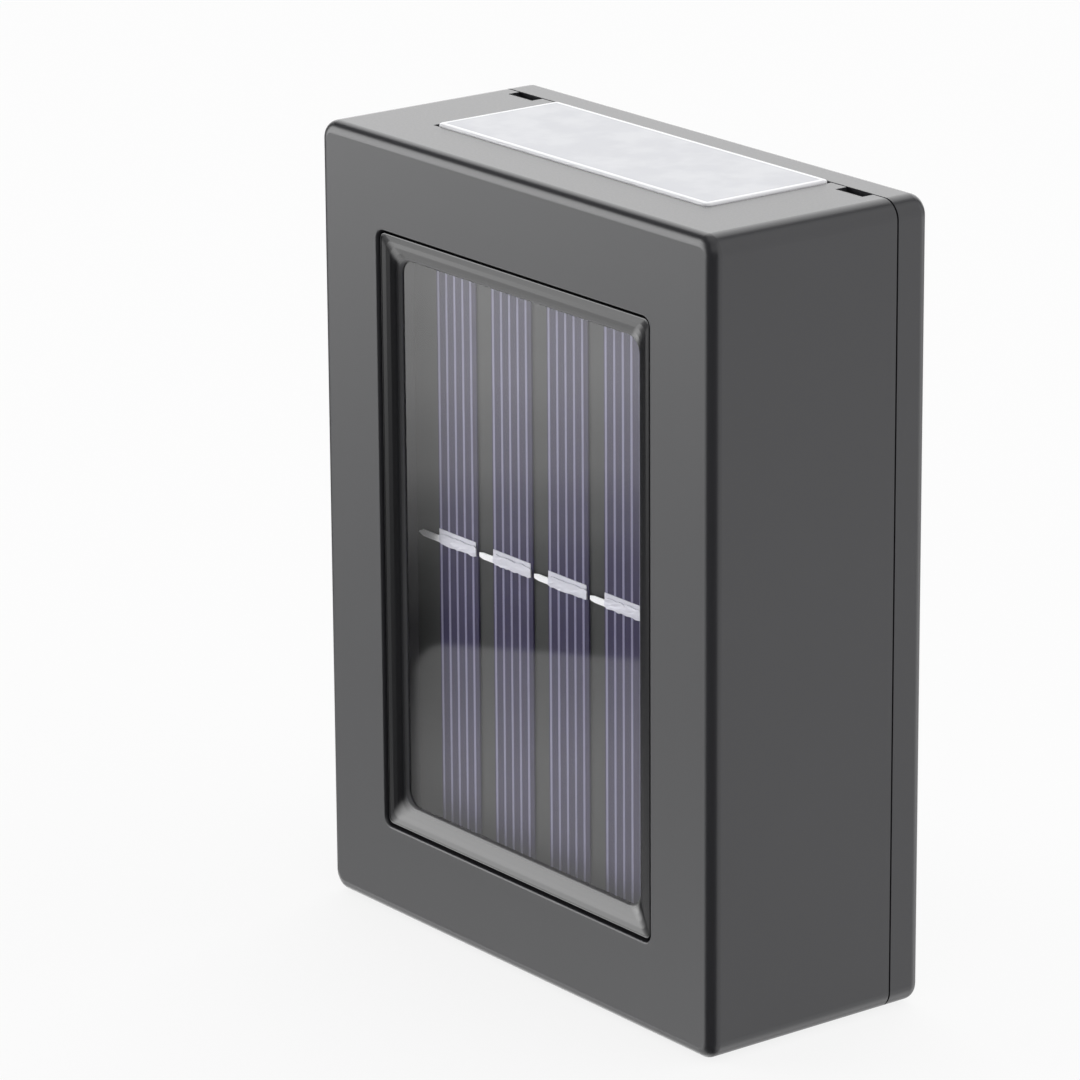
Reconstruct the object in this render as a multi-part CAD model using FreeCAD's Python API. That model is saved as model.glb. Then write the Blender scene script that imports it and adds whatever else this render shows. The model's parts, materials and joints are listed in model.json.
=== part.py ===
import FreeCAD, Part
import math
import os

# Solar fence light that shines up and down. All sizes in millimetres.
# Origin: centre of the flat rear face. +X right as seen from the front, +Y into the wall, +Z up.

V = FreeCAD.Vector
X_AXIS = V(1, 0, 0)
Y_AXIS = V(0, 1, 0)
Z_AXIS = V(0, 0, 1)
OVER = 1.0                      # how far cutting tools run past a face
TOLERANCE = 1e-6

# ---- casing
body_width = 80.0
body_height = 105.0
body_depth = 34.0
wall = 2.2
side_edge_radius = 2.5          # edges that run front to back
front_edge_radius = 1.5
rear_edge_radius = 1.5
cover_depth = 5.0               # rear cover, from the seam to the rear face
seam_gap = 0.25
slide_clearance = 0.15          # between plastic pieces that slide together
inner_corner_radius = 0.6

# ---- lip and snap hooks of the rear cover
lip_thickness = 1.4
lip_reach = 3.0                 # how far the lip enters the shell
hook_width = 4.4
hook_inset = 0.3                # towards the lens, from the middle of the room beside it
hook_reach = 1.5                # past the lip
hook_height = 0.9
hook_side_clearance = 0.3
catch_depth = 1.0
catch_length = 2.1

# ---- pry notches in the shell's rear edge, behind the hooks
notch_width = 5.0
notch_length = 1.8
notch_depth = 0.6
notch_trench_width = 0.7
notch_trench_depth = 1.7

# ---- window in the front
window_width = 55.8
window_height = 80.6
window_corner_radius = 1.3
window_edge_radius = 0.25
window_edge_steps = 4
bezel_gap = 0.35                # dark line round the bezel
bezel_sink = 0.3                # of the bezel's rim, behind the front face
bezel_rim_radius = 0.15         # the rim is one round bead
slope_width = 3.0               # from the middle of the rim to the pane
slope_depth = 1.5               # of the pane, behind the front face
slope_corner_radius = 2.2       # where the slope meets the pane
rim_inner_angle = 60.0          # how steep the rim's bead ends on its inner side
lip_start_angle = 6.0           # the lip inside the rim falls slowly at first
lip_end_angle = 24.0
lip_bend_radius = 0.4           # between the lip and the wall
slope_wall_angle = 72.0         # short steep wall from the lip down to the pane
slope_foot_thickness = 0.1      # of the slope's inner edge, which lies on the pane
rim_steps = 3
lip_steps = 4
bend_steps = 4
bezel_wall = 0.95
flange_width = 3.0
flange_thickness = 1.5
stake_radius = 1.0
stake_clearance = 0.1
stake_proud = 0.5
stake_side_height = 30.0        # of the side stakes above and below the middle
stake_end_offset = 18.0         # of the end stakes from the middle

# ---- panel in the window
pane_thickness = 1.2
pane_clearance = 0.1
pane_to_cell = 1.9
cell_count = 4
cell_width = 8.3
cell_pitch = 11.5
cell_thickness = 0.25
cell_end_cover = 1.8            # how far a cell runs under the bezel
panel_board_thickness = 1.2
finger_count = 5
finger_pitch = 1.7
finger_width = 0.42
finger_first = 0.45             # middle of the first line, from the cell's left edge
finger_thickness = 0.03
pad_height = 1.8
pad_thickness = 0.07
pad_left_margin = 0.1
pad_right_margin = 0.4
pad_level = 0.15                # above the window's middle
ribbon_height = 0.9
ribbon_thickness = 0.12
ribbon_drop = 0.45              # below the pad's middle
ribbon_break = 0.5
ribbon_taper = 0.9
ribbon_stub = 4.2               # runs under the bezel
ribbon_tip_share = 0.1          # height of a stub's tip, as a share of the ribbon's
ribbon_end_share = 0.5
ribbon_start_share = 0.6

# ---- lenses in the ends
lens_width = 54.6
lens_front_margin = 9.3         # from the front face
lens_gap = 0.3
lens_proud = 0.3
lens_edge_radius = 0.35
lens_corner_radius = 0.8
lens_flange = 1.3
lens_flange_thickness = 1.2
lens_seal_thickness = 0.5

# ---- rear seal
seal_groove_width = 1.0
seal_groove_depth = 0.8
seal_side_clearance = 0.05

# ---- keyholes for two wall screws
keyhole_spacing = 40.0
keyhole_level = 24.0
entry_radius = 4.25
slot_width = 4.4
slot_length = 6.0               # from the entry's middle to the slot's end
pocket_radius = 4.45
pocket_depth = 4.5
pocket_wall = 1.2

# ---- rechargeable cell and its holder
battery_radius = 7.25
battery_length = 49.0
nub_radius = 2.75
nub_length = 1.5
sleeve_thickness = 0.2
sleeve_end_margin = 0.4
battery_level = 2.0
battery_clearance = 0.2
holder_floor = 1.4
holder_wall = 1.6
holder_rise = 2.0               # walls above the cell's middle
end_wall_rise = 5.0             # end walls above the cell's middle
contact_thickness = 0.4
contact_width = 10.0
tag_width = 3.0
tag_length = 3.0
spring_length = 5.0
spring_turns = 4
spring_wire = 0.7
spring_small_radius = 2.2
spring_large_radius = 4.2
ear_thickness = 1.6
ear_width = 6.0
ear_level = 8.0                 # its seat, in front of the rear face
ear_offset = 14.0               # of the two ears from the holder's middle, to opposite ends
ear_post_gap = 0.75             # between an ear's post and the holder

# ---- screws and posts
screw_radius = 0.95
screw_length = 6.0
screw_head_radius = 1.9
screw_head_height = 1.4
screw_head_edge_radius = 0.45
recess_length = 2.2
recess_width = 0.6
recess_depth = 0.7
post_radius = 2.3
screw_clearance = 0.05
screw_hole_radius = 1.1
post_hole_spare = 1.0           # hole deeper than the screw

# ---- main board
board_width = 48.0
board_height = 22.0
board_thickness = 1.2
board_end_gap = 3.4             # between the main board and the bottom lamp board
board_standoff = 14.0           # its rear side, in front of the rear face
board_corner_radius = 1.0
board_post_inset_x = 3.5
board_post_inset_z = 3.0

# ---- push switch and its button
switch_side = 8.5
switch_height = 7.0
plunger_radius = 1.5
plunger_bore_clearance = 0.08
plunger_inside = 3.6
button_travel = 1.5
bore_spare = 0.5
cap_radius = 4.0
cap_clearance = 0.2
cap_sink = 0.5                  # end of the cap, below the rear face
cap_length = 4.4
cap_end_radius = 0.6
cap_socket_clearance = 0.02
cap_socket_depth = 2.7
dish_radius = 7.5
dish_depth = 0.8
boss_radius = 7.0
boss_height = 2.0
seal_ring_width = 1.4
seal_ring_height = 1.0
seal_ring_clearance = 0.15
seal_seat_clearance = 0.05

# ---- parts on the main board
chip_length = 4.9
chip_width = 3.9
chip_height = 1.5
chip_lift = 0.15
chip_legs = 4
chip_leg_pitch = 1.27
chip_leg_width = 0.4
chip_leg_reach = 1.0
coil_flange_radius = 3.2
coil_core_radius = 1.8
coil_height = 5.0
coil_flange_thickness = 0.9
winding_thickness = 1.0
capacitor_radius = 2.5
capacitor_height = 6.5
capacitor_groove = 0.25
capacitor_groove_level = 1.3
resistor_length = 2.0
resistor_width = 1.25
resistor_height = 0.5
resistor_pitch = 2.6
resistor_count = 3

# ---- lamp boards
lamp_board_drop = 10.9          # outer side of the board, below the casing's end
lamp_board_front_margin = 9.0
lamp_board_side_gap = 0.4
lamp_board_rear_gap = 0.15      # to the cover's lip, which closes the rails
rail_depth = 3.8
rail_wall = 1.5
rail_clearance = 0.1
led_count = 3
led_pitch = 15.0
led_length = 3.5
led_width = 2.8
led_height = 0.8
led_dish_radius = 1.1
led_dish_depth = 0.2

# ---- leads
lead_radius = 0.6
lead_bend = 1.8
lead_pair_pitch = 2.4
panel_lead_offset = 4.0
panel_lead_level = -8.0
lamp_lead_offset = 12.0
battery_lead_end = 16.0
battery_lead_side = 3.8         # clear of the holder's end

# ---- worked out from the sizes above
half_width = body_width / 2
half_height = body_height / 2
front_y = -body_depth
front_inside_y = front_y + wall
seam_front_y = -(cover_depth + seam_gap)
seam_rear_y = -cover_depth
rear_inside_y = -wall
cavity_half_width = half_width - wall
cavity_half_height = half_height - wall

lip_front_y = seam_rear_y - lip_reach
lip_half_width = cavity_half_width - slide_clearance
lip_half_height = cavity_half_height - slide_clearance
hook_front_y = lip_front_y - hook_reach

bezel_width = window_width - 2 * bezel_gap
bezel_height = window_height - 2 * bezel_gap
bezel_front_y = front_y + bezel_sink
pane_front_y = front_y + slope_depth
pane_rear_y = pane_front_y + pane_thickness
cell_front_y = pane_rear_y + pane_to_cell
panel_board_front_y = cell_front_y + cell_thickness
panel_board_rear_y = panel_board_front_y + panel_board_thickness
pocket_width = bezel_width - 2 * bezel_wall
pocket_height = bezel_height - 2 * bezel_wall
slope_inner_height = bezel_height - 2 * (bezel_rim_radius + slope_width)
cell_length = slope_inner_height + 2 * cell_end_cover
first_cell_x = -cell_pitch * (cell_count - 1) / 2

lens_half_width = lens_width / 2
lens_front_y = front_y + lens_front_margin
lens_seat_z = cavity_half_height - lens_seal_thickness
lens_flange_end_x = lens_half_width + lens_gap + lens_flange
hook_x = (lens_flange_end_x + lip_half_width) / 2 - hook_inset

cell_axis_y = rear_inside_y - holder_floor - battery_clearance - battery_radius
bay_length = contact_thickness * 2 + spring_length + battery_length + nub_length
bay_half_length = bay_length / 2
holder_half_length = bay_half_length + holder_wall
bay_half_width = battery_radius + battery_clearance
holder_half_width = bay_half_width + holder_wall
holder_front_y = cell_axis_y - holder_rise
end_wall_front_y = cell_axis_y - end_wall_rise
battery_start_x = -bay_half_length + contact_thickness + spring_length
ear_post_offset = holder_half_width + ear_post_gap + post_radius

lamp_board_top_z = half_height - lamp_board_drop
lamp_board_low_z = lamp_board_top_z - board_thickness
lamp_board_front_y = front_y + lamp_board_front_margin
lamp_board_rear_y = lip_front_y - lamp_board_rear_gap
lamp_board_half_width = cavity_half_width - lamp_board_side_gap

board_rear_y = -board_standoff
board_front_y = board_rear_y - board_thickness
board_level = -lamp_board_low_z + board_end_gap + board_height / 2
component_x = board_width / 4           # of the two groups of components, from the board's middle
component_z = board_height / 5
lead_row_z = board_level + board_height / 4
wiring_y = (panel_board_rear_y + board_front_y) / 2
switch_front_y = board_rear_y + switch_height

cap_rear_y = -cap_sink
cap_front_y = cap_rear_y - cap_length
plunger_rear_y = cap_front_y + cap_socket_depth


# ---- shapes used again and again
def block(x_range, y_range, z_range):
    """Box between two corners, given as a low and a high value along each axis."""
    size = [high - low for low, high in (x_range, y_range, z_range)]
    return Part.makeBox(size[0], size[1], size[2], V(x_range[0], y_range[0], z_range[0]))


def span(middle, length):
    return (middle - length / 2, middle + length / 2)


def edges_along(shape, axis):
    """Straight edges of a shape that are parallel to an axis."""
    found = []
    for edge in shape.Edges:
        run = edge.Vertexes[-1].Point - edge.Vertexes[0].Point
        if run.Length > TOLERANCE and run.cross(axis).Length < TOLERANCE * run.Length:
            found.append(edge)
    return found


def rounded_block(x_range, y_range, z_range, axis, radius):
    shape = block(x_range, y_range, z_range)
    return shape.makeFillet(radius, edges_along(shape, axis))


def upright_plate(width, height, y_range, radius, x=0.0, z=0.0):
    """Plate parallel to the rear face, with rounded corners."""
    return rounded_block(span(x, width), y_range, span(z, height), Y_AXIS, radius)


def round_rim(shape, y, radius):
    """Round every edge that lies in the plane at y."""
    rim = [edge for edge in shape.Edges if max(abs(v.Point.y - y) for v in edge.Vertexes) < TOLERANCE]
    return shape.makeFillet(radius, rim)


def rod(radius, start, end):
    run = end - start
    return Part.makeCylinder(radius, run.Length, start, run)


def ring(outer_radius, inner_radius, start, end):
    return rod(outer_radius, start, end).cut(rod(inner_radius, start, end))


def joined(shapes):
    whole = shapes[0]
    for shape in shapes[1:]:
        whole = whole.fuse(shape)
    return whole.removeSplitter()


def without(shape, tools):
    for tool in tools:
        shape = shape.cut(tool)
    return shape


def to_bottom(shape):
    """The same piece turned over, for the bottom end."""
    return shape.mirror(V(0, 0, 0), Z_AXIS)


def to_left(shape):
    return shape.mirror(V(0, 0, 0), X_AXIS)


def outline(width, height, radius, y):
    """Closed outline of a rounded rectangle in the plane at y: four lines and four arcs."""
    x, z = width / 2, height / 2
    edges = []
    for turn, (sx, sz) in enumerate(((1, 1), (-1, 1), (-1, -1), (1, -1))):
        middle = V(sx * (x - radius), y, sz * (z - radius))
        angles = [math.radians(90 * turn + step) for step in (0, 45, 90)]
        points = [middle + V(math.cos(a), 0, math.sin(a)) * radius for a in angles]
        edges.append(Part.Arc(*points).toShape())
    sides = []
    for arc, following in zip(edges, edges[1:] + edges[:1]):
        sides.append(Part.makeLine(arc.Vertexes[-1].Point, following.Vertexes[0].Point))
    return Part.Wire([edge for pair in zip(edges, sides) for edge in pair])


def bent_path(points, bend):
    """Straight runs between points, joined by tangent arcs."""
    edges = []
    start = points[0]
    for before, corner, after in zip(points, points[1:], points[2:]):
        arriving = (corner - before).normalize()
        leaving = (after - corner).normalize()
        half_turn = arriving.getAngle(leaving) / 2
        setback = bend * math.tan(half_turn)
        first = corner - arriving * setback
        last = corner + leaving * setback
        inward = (leaving - arriving).normalize()
        middle = corner + inward * (bend / math.cos(half_turn) - bend)
        edges.append(Part.makeLine(start, first))
        edges.append(Part.Arc(first, middle, last).toShape())
        start = last
    edges.append(Part.makeLine(start, points[-1]))
    return Part.Wire(edges)


def tube_along(path, radius, start, direction):
    profile = Part.Wire(Part.makeCircle(radius, start, direction))
    return path.makePipeShell([profile], True, False)


def lead(points):
    path = bent_path(points, lead_bend)
    return tube_along(path, lead_radius, points[0], points[1] - points[0])


# ---- casing
def casing_block(y_range):
    return upright_plate(body_width, body_height, y_range, side_edge_radius)


def board_rail():
    """Grooved rail for the right end of the top lamp board, closed at its front."""
    z_range = (lamp_board_low_z - rail_wall, lamp_board_top_z + rail_wall)
    x_range = (cavity_half_width - rail_depth, cavity_half_width + wall / 2)
    rail = block(x_range, (lamp_board_front_y - rail_wall, lamp_board_rear_y), z_range)
    groove = block(
        (cavity_half_width - rail_depth - OVER, lamp_board_half_width + rail_clearance),
        (lamp_board_front_y, lamp_board_rear_y + OVER),
        (lamp_board_low_z - rail_clearance, lamp_board_top_z + rail_clearance),
    )
    return rail.cut(groove)


def lens_slot():
    """Opening for the top lens, open towards the rear cover."""
    return block(
        span(0, lens_width + 2 * lens_gap),
        (lens_front_y - lens_gap, seam_front_y + OVER),
        (cavity_half_height - OVER, half_height + OVER),
    )


def pry_notch(x):
    """Notch in the shell's rear edge: a sloped floor with a narrow trench at the seam."""
    start = seam_front_y - notch_length
    corners = [
        V(0, start, half_height),
        V(0, seam_front_y, half_height - notch_depth),
        V(0, seam_front_y, half_height + OVER),
        V(0, start, half_height + OVER),
    ]
    floor = Part.Face(Part.makePolygon(corners + corners[:1])).extrude(V(notch_width, 0, 0))
    floor.translate(V(x - notch_width / 2, 0, 0))
    trench = block(
        span(x, notch_width),
        (seam_front_y - notch_trench_width, seam_front_y + OVER),
        (half_height - notch_trench_depth, half_height + OVER),
    )
    return floor.fuse(trench)


def hook_catch(x):
    """Pocket on the inside of the top wall that the cover's hook springs into."""
    return block(
        span(x, hook_width + 2 * hook_side_clearance),
        (hook_front_y - slide_clearance, hook_front_y - slide_clearance + catch_length),
        (cavity_half_height - OVER, cavity_half_height + catch_depth),
    )


def stake_places():
    side_x = window_width / 2 + flange_width / 2
    end_z = window_height / 2 + flange_width / 2
    places = [(sx * side_x, sz * stake_side_height) for sx in (1, -1) for sz in (1, -1)]
    places += [(sx * stake_end_offset, sz * end_z) for sx in (1, -1) for sz in (1, -1)]
    return places


def stake(x, z):
    rear = front_inside_y + flange_thickness + stake_proud
    return rod(stake_radius, V(x, front_inside_y - wall / 2, z), V(x, rear, z))


def window_hole():
    """The hole in the front wall, which widens at the front face in a small rounded edge."""
    straight = upright_plate(
        window_width, window_height, (front_y - OVER, front_inside_y + OVER), window_corner_radius)
    sections = []
    for step in range(window_edge_steps + 1):
        angle = math.pi / 2 * step / window_edge_steps
        spread = window_edge_radius * (1 - math.sin(angle))
        y = front_y + window_edge_radius * (1 - math.cos(angle))
        sections.append(outline(window_width + 2 * spread, window_height + 2 * spread,
                                window_corner_radius + spread, y))
    return straight.fuse(Part.makeLoft(sections, True, True))


def front_shell():
    shell = round_rim(casing_block((front_y, seam_front_y)), front_y, front_edge_radius)
    cavity = upright_plate(2 * cavity_half_width, 2 * cavity_half_height,
                           (front_inside_y, seam_front_y + OVER), inner_corner_radius)
    shell = without(shell, [cavity, window_hole()])
    end_cuts = [lens_slot()]
    for x in (hook_x, -hook_x):
        end_cuts += [pry_notch(x), hook_catch(x)]
    for cut in end_cuts:
        shell = without(shell, [cut, to_bottom(cut)])
    rail = board_rail()
    rails = [rail, to_left(rail), to_bottom(rail), to_left(to_bottom(rail))]
    return joined([shell] + rails + [stake(x, z) for x, z in stake_places()])


def snap_hook(x):
    """Arm and nose of one hook at the top end."""
    arm = block(
        span(x, hook_width),
        (hook_front_y, seam_rear_y),
        (lip_half_height - lip_thickness, lip_half_height),
    )
    corners = [
        V(0, hook_front_y, lip_half_height - lip_thickness / 2),
        V(0, hook_front_y, lip_half_height),
        V(0, hook_front_y + hook_height, lip_half_height + hook_height),
        V(0, hook_front_y + hook_reach, lip_half_height + hook_height),
        V(0, hook_front_y + hook_reach, lip_half_height - lip_thickness / 2),
    ]
    nose = Part.Face(Part.makePolygon(corners + corners[:1])).extrude(V(hook_width, 0, 0))
    nose.translate(V(x - hook_width / 2, 0, 0))
    return arm.fuse(nose)


def stadium(radius, length, x, z, y_range):
    """Upright slot with round ends: from z upwards over a length, between two depths."""
    low = rod(radius, V(x, y_range[0], z), V(x, y_range[1], z))
    high = rod(radius, V(x, y_range[0], z + length), V(x, y_range[1], z + length))
    middle = block(span(x, 2 * radius), y_range, (z, z + length))
    return joined([low, high, middle])


def keyhole_box(x):
    """Closed box behind the rear wall that keeps a screw head away from the inside."""
    side = pocket_radius + pocket_wall
    return block(
        span(x, 2 * side),
        (rear_inside_y - pocket_depth - pocket_wall, rear_inside_y),
        (keyhole_level - side, keyhole_level + slot_length + side),
    )


def keyhole_cuts(x):
    pocket = stadium(pocket_radius, slot_length, x, keyhole_level,
                     (rear_inside_y - pocket_depth, rear_inside_y))
    entry = rod(entry_radius, V(x, rear_inside_y - OVER, keyhole_level), V(x, OVER, keyhole_level))
    slot = stadium(slot_width / 2, slot_length, x, keyhole_level, (rear_inside_y - OVER, OVER))
    return [pocket, entry, slot]


def board_post_places():
    x = board_width / 2 - board_post_inset_x
    z = board_height / 2 - board_post_inset_z
    return [(sx * x, board_level + sz * z) for sx in (1, -1) for sz in (1, -1)]


def ear_post_places():
    """One post above the holder at the right, one below it at the left."""
    return [(side * ear_offset, battery_level + side * ear_post_offset) for side in (1, -1)]


def screw_places():
    """Every screw: its place across the rear face and the level its head sits on."""
    places = [(x, board_front_y, z) for x, z in board_post_places()]
    places += [(x, -ear_level - ear_thickness, z) for x, z in ear_post_places()]
    return places


def cover_tray():
    """Tray with a lip all round that enters the shell, open where the lenses pass."""
    tray = round_rim(casing_block((seam_rear_y, 0)), 0, rear_edge_radius)
    lip = upright_plate(2 * lip_half_width, 2 * lip_half_height,
                        (lip_front_y, seam_rear_y), inner_corner_radius)
    inside = upright_plate(2 * (lip_half_width - lip_thickness), 2 * (lip_half_height - lip_thickness),
                           (lip_front_y - OVER, rear_inside_y), inner_corner_radius)
    lens_relief = block(
        span(0, 2 * (lens_flange_end_x + slide_clearance)),
        (lip_front_y - OVER, seam_rear_y),
        (-half_height, half_height),
    )
    return joined([tray, lip]).cut(inside).cut(lens_relief)


def cover_posts():
    """Posts that carry the main board and the battery holder's ears."""
    posts = [rod(post_radius, V(x, rear_inside_y, z), V(x, board_rear_y, z))
             for x, z in board_post_places()]
    posts += [rod(post_radius, V(x, rear_inside_y, z), V(x, -ear_level, z))
              for x, z in ear_post_places()]
    return posts


def screw_holes():
    holes = []
    for x, y, z in screw_places():
        bottom = min(y + screw_length + post_hole_spare, rear_inside_y)
        holes.append(rod(screw_radius + screw_clearance, V(x, y, z), V(x, bottom, z)))
    return holes


def button_cuts():
    """Dish in the rear face, the hole for the button and the seat of its seal."""
    dish = rod(dish_radius, V(0, -dish_depth, board_level), V(0, OVER, board_level))
    seat_front = rear_inside_y - boss_height
    hole = rod(cap_radius + cap_clearance, V(0, seat_front - OVER, board_level), V(0, OVER, board_level))
    seat_radius = cap_radius + seal_ring_clearance + seal_ring_width + seal_seat_clearance
    seat = rod(seat_radius, V(0, seat_front, board_level),
               V(0, seat_front + seal_ring_height, board_level))
    return [dish, hole, seat]


def rear_cover():
    hooks = [snap_hook(hook_x), snap_hook(-hook_x)]
    hooks += [to_bottom(hook) for hook in hooks]
    boxes = [keyhole_box(sx * keyhole_spacing / 2) for sx in (1, -1)]
    boss = rod(boss_radius, V(0, rear_inside_y - boss_height, board_level),
               V(0, rear_inside_y, board_level))
    cover = joined([cover_tray()] + hooks + boxes + cover_posts() + [boss])
    keyholes = keyhole_cuts(keyhole_spacing / 2) + keyhole_cuts(-keyhole_spacing / 2)
    return without(cover, keyholes + screw_holes() + button_cuts() + [seal_ring_frame(seal_groove_width)])


def seal_ring_frame(width):
    """Frame of a given width along the middle of the rim, as deep as the seal's groove."""
    inset = (half_width - lip_half_width) / 2
    low, high = inset - width / 2, inset + width / 2
    y_range = (seam_front_y, seam_rear_y + seal_groove_depth)
    outer = upright_plate(body_width - 2 * low, body_height - 2 * low, y_range, side_edge_radius - low)
    inner = upright_plate(body_width - 2 * high, body_height - 2 * high,
                          (y_range[0] - OVER, y_range[1] + OVER), side_edge_radius - high)
    return outer.cut(inner)


def rear_seal():
    return seal_ring_frame(seal_groove_width - 2 * seal_side_clearance)


# ---- window and panel
def curved_run(start, radius, first_angle, last_angle, steps):
    """Points (across, down) of an arc whose steepness goes from the first angle to the last one.

    A negative radius bulges outwards.
    """
    points = []
    for step in range(1, steps + 1):
        angle = first_angle + (last_angle - first_angle) * step / steps
        points.append((start[0] + radius * (math.sin(first_angle) - math.sin(angle)),
                       start[1] + radius * (math.cos(angle) - math.cos(first_angle))))
    return points


def slope_profile():
    """Points (across, down) of the bezel's inner face: round rim, gently falling lip, bend and steep wall."""
    rim_end, lip_start, lip_end, steep = [math.radians(angle) for angle in (
        rim_inner_angle, lip_start_angle, lip_end_angle, slope_wall_angle)]
    depth = slope_depth - bezel_sink - slope_foot_thickness
    points = [(0.0, 0.0)]
    points += curved_run(points[-1], -bezel_rim_radius, 0.0, rim_end, rim_steps)
    bend_width = lip_bend_radius * (math.sin(steep) - math.sin(lip_end))
    bend_depth = lip_bend_radius * (math.cos(lip_end) - math.cos(steep))
    depth_left = depth - points[-1][1] - bend_depth
    width_left = slope_width - points[-1][0] - bend_width - depth_left / math.tan(steep)
    lip_radius = width_left / (math.sin(lip_end) - math.sin(lip_start)
                               - (math.cos(lip_start) - math.cos(lip_end)) / math.tan(steep))
    points += curved_run(points[-1], -lip_radius, lip_start, lip_end, lip_steps)
    points += curved_run(points[-1], -lip_bend_radius, lip_end, steep, bend_steps)
    return points + [(slope_width, depth), (slope_width, depth + slope_foot_thickness)]


def slope_sections():
    """Outlines of the bezel's inner face, from the middle of its rim down to the pane."""
    sections = []
    rim_corner = window_corner_radius - bezel_gap - bezel_rim_radius
    for across, down in slope_profile():
        inset = bezel_rim_radius + across
        corner = rim_corner + (slope_corner_radius - rim_corner) * across / slope_width
        sections.append(outline(bezel_width - 2 * inset, bezel_height - 2 * inset, corner,
                                bezel_front_y + down))
    return sections


def window_bezel():
    neck = upright_plate(bezel_width, bezel_height, (bezel_front_y, panel_board_rear_y),
                         window_corner_radius - bezel_gap)
    neck = round_rim(neck, bezel_front_y, bezel_rim_radius)
    flange = upright_plate(window_width + 2 * flange_width, window_height + 2 * flange_width,
                           (front_inside_y, front_inside_y + flange_thickness), side_edge_radius)
    bezel = joined([neck, flange])
    pocket = upright_plate(pocket_width, pocket_height, (pane_front_y, panel_board_rear_y + OVER),
                           inner_corner_radius)
    bezel = without(bezel, [Part.makeLoft(slope_sections(), True, True), pocket])
    flange_rear_y = front_inside_y + flange_thickness
    holes = [rod(stake_radius + stake_clearance, V(x, front_y, z), V(x, flange_rear_y + OVER, z))
             for x, z in stake_places()]
    return without(bezel, holes)


def window_pane():
    return upright_plate(pocket_width - 2 * pane_clearance, pocket_height - 2 * pane_clearance,
                         (pane_front_y, pane_rear_y), inner_corner_radius)


def panel_board():
    return upright_plate(pocket_width - 2 * pane_clearance, pocket_height - 2 * pane_clearance,
                         (panel_board_front_y, panel_board_rear_y), inner_corner_radius)


def cell_left_edges():
    return [first_cell_x + cell_pitch * k - cell_width / 2 for k in range(cell_count)]


def solar_cells():
    y_range = (cell_front_y, panel_board_front_y)
    return Part.makeCompound([block((left, left + cell_width), y_range, span(0, cell_length))
                              for left in cell_left_edges()])


def cell_finger_lines():
    y_range = (cell_front_y - finger_thickness, cell_front_y)
    lines = []
    pad_low, pad_high = span(pad_level, pad_height)
    for left in cell_left_edges():
        for k in range(finger_count):
            x_range = span(left + finger_first + finger_pitch * k, finger_width)
            lines.append(block(x_range, y_range, (-cell_length / 2, pad_low)))
            lines.append(block(x_range, y_range, (pad_high, cell_length / 2)))
    return Part.makeCompound(lines)


def cell_pads():
    y_range = (cell_front_y - pad_thickness, cell_front_y)
    return Part.makeCompound([
        block((left + pad_left_margin, left + cell_width - pad_right_margin), y_range,
              span(pad_level, pad_height))
        for left in cell_left_edges()])


def ribbon(start, end, start_share, end_share):
    """Flat ribbon whose ends narrow to a share of its height."""
    half = ribbon_height / 2
    middle = pad_level - ribbon_drop
    half_profile = [(start, half * start_share), (start + ribbon_taper, half),
                    (end - ribbon_taper, half), (end, half * end_share)]
    corners = [V(x, 0, middle + h) for x, h in half_profile]
    corners += [V(x, 0, middle - h) for x, h in reversed(half_profile)]
    rear = cell_front_y - pad_thickness
    strip = Part.Face(Part.makePolygon(corners + corners[:1])).extrude(V(0, -ribbon_thickness, 0))
    strip.translate(V(0, rear, 0))
    return strip


def cell_ribbons():
    """One ribbon on each cell that reaches over to the next, and a stub at the left end."""
    lefts = cell_left_edges()
    first, last = lefts[0], lefts[-1] + cell_width
    strips = [ribbon(first - ribbon_stub, first + cell_width - ribbon_break,
                     ribbon_tip_share, ribbon_end_share)]
    for left in lefts[:-1]:
        start = left + cell_width + ribbon_break
        end = left + cell_pitch + cell_width - ribbon_break
        strips.append(ribbon(start, end, ribbon_start_share, ribbon_end_share))
    strips.append(ribbon(last + ribbon_break / 2, last + ribbon_stub,
                         ribbon_start_share, ribbon_tip_share))
    return Part.makeCompound(strips)


# ---- lenses
def lens():
    """The top lens: a plate in the casing's end, and a flange behind the wall."""
    plate = rounded_block(span(0, lens_width), (lens_front_y, seam_front_y),
                          (lens_seat_z, half_height + lens_proud), Z_AXIS, lens_corner_radius)
    rim = [edge for edge in plate.Edges
           if min(v.Point.z for v in edge.Vertexes) > half_height + lens_proud - TOLERANCE]
    plate = plate.makeFillet(lens_edge_radius, rim)
    return joined([plate, lens_flange_block(lens_seat_z - lens_flange_thickness, lens_seat_z)])


def lens_flange_block(z_low, z_high):
    return block(
        span(0, 2 * lens_flange_end_x),
        (lens_front_y - lens_gap - lens_flange, seam_front_y),
        (z_low, z_high),
    )


def lens_seal():
    """Foam frame between the flange and the end wall, open at the rear."""
    return lens_flange_block(lens_seat_z, cavity_half_height).cut(lens_slot())


# ---- rechargeable cell, its holder and contacts
def battery_can():
    can = rod(battery_radius - sleeve_thickness, V(battery_start_x, cell_axis_y, battery_level),
              V(battery_start_x + battery_length, cell_axis_y, battery_level))
    end_x = battery_start_x + battery_length
    nub = rod(nub_radius, V(end_x, cell_axis_y, battery_level),
              V(end_x + nub_length, cell_axis_y, battery_level))
    return joined([can, nub])


def battery_sleeve():
    return ring(battery_radius, battery_radius - sleeve_thickness,
                V(battery_start_x + sleeve_end_margin, cell_axis_y, battery_level),
                V(battery_start_x + battery_length - sleeve_end_margin, cell_axis_y, battery_level))


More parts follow.
